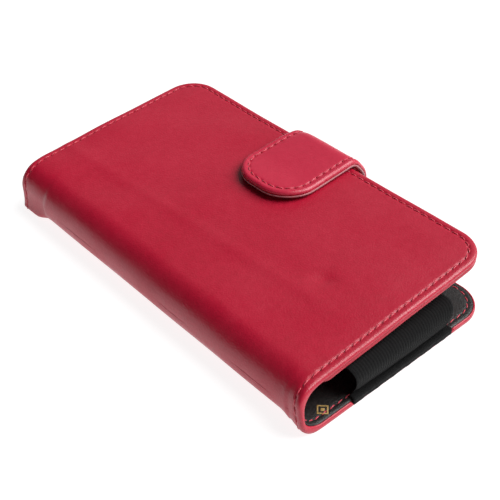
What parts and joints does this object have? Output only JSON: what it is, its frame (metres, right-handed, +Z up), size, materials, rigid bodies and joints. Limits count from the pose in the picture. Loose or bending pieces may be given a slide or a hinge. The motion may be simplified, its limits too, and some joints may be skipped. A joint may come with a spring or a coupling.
{
  "type": "phone wallet case",
  "caption": "Book-style leather case for a phone: two covers and a soft spine, an elastic-ended phone sleeve, card pockets inside the front and a magnetic strap over the open side.",
  "frame": {"origin": "middle of the closed case's bounding box, on the plane it lies on", "axes": "+Y along the spine, away from the end that the elastic closes; +Z up, out of the front cover; +X from the spine to the open side with the strap"},
  "size_m": [0.0888, 0.15, 0.0269],
  "materials": {
    "red_leather": "smooth crimson calf leather, fine grain, soft gloss",
    "inner_leather": "thin crimson leather, satin, with painted cut edges",
    "board": "pressed fibre board, matt",
    "black_lining": "thin black leather lining, fine pebble grain, satin",
    "black_elastic": "woven ribbed elastic, matt",
    "black_tape": "flat woven tape, matt",
    "red_thread": "waxed crimson thread, satin",
    "gold_foil": "hot-pressed gold foil",
    "steel": "thin plated steel",
    "magnet": "nickel-plated magnet"
  },
  "bodies": {
    "back_cover": {"back_leather": "red_leather", "back_board": "board", "back_lining": "black_lining", "back_stitching": "red_thread", "sleeve_frame": "inner_leather", "sleeve_wall_left": "black_lining", "sleeve_wall_right": "black_lining", "sleeve_wall_end": "black_lining", "elastic_band": "black_elastic", "elastic_tape": "black_tape", "foil_diamond": "gold_foil", "strap_anchor": "red_leather"},
    "spine": {"spine_leather": "red_leather", "spine_board": "board", "spine_lining": "black_lining", "spine_stitching": "red_thread"},
    "front_cover": {"front_leather": "red_leather", "front_board": "board", "front_lining": "black_lining", "front_panel": "inner_leather", "cash_pocket": "inner_leather", "card_pocket_1": "inner_leather", "card_pocket_2": "inner_leather", "card_pocket_3": "inner_leather", "front_stitching": "red_thread", "snap_keeper": "steel"},
    "strap_wall": {"strap_wall_leather": "red_leather", "strap_wall_lining": "inner_leather", "strap_wall_stitching": "red_thread"},
    "strap_tab": {"strap_tab_leather": "red_leather", "strap_tab_lining": "inner_leather", "strap_magnet": "magnet", "strap_tab_stitching": "red_thread"}
  },
  "joints": [
    {"name": "spine_fold", "type": "hinge", "parent": "back_cover", "child": "spine", "pos_m": [-0.04343, 0, 0.00097], "axis": [0, -1, 0], "range_deg": [0, 90]},
    {"name": "cover_fold", "type": "hinge", "parent": "spine", "child": "front_cover", "pos_m": [-0.04258, 0, 0.01503], "axis": [0, -1, 0], "range_deg": [0, 85]},
    {"name": "strap_wall_fold", "type": "hinge", "parent": "back_cover", "child": "strap_wall", "pos_m": [0.0438, 0.0028, 0.0012], "axis": [0, 1, 0], "range_deg": [0, 90]},
    {"name": "strap_tab_fold", "type": "hinge", "parent": "strap_wall", "child": "strap_tab", "pos_m": [0.04365, 0.0028, 0.02636], "axis": [0, 1, 0], "range_deg": [0, 95], "deforming": ["strap_tab_leather", "strap_tab_lining", "strap_magnet", "strap_tab_stitching"]}
  ]
}
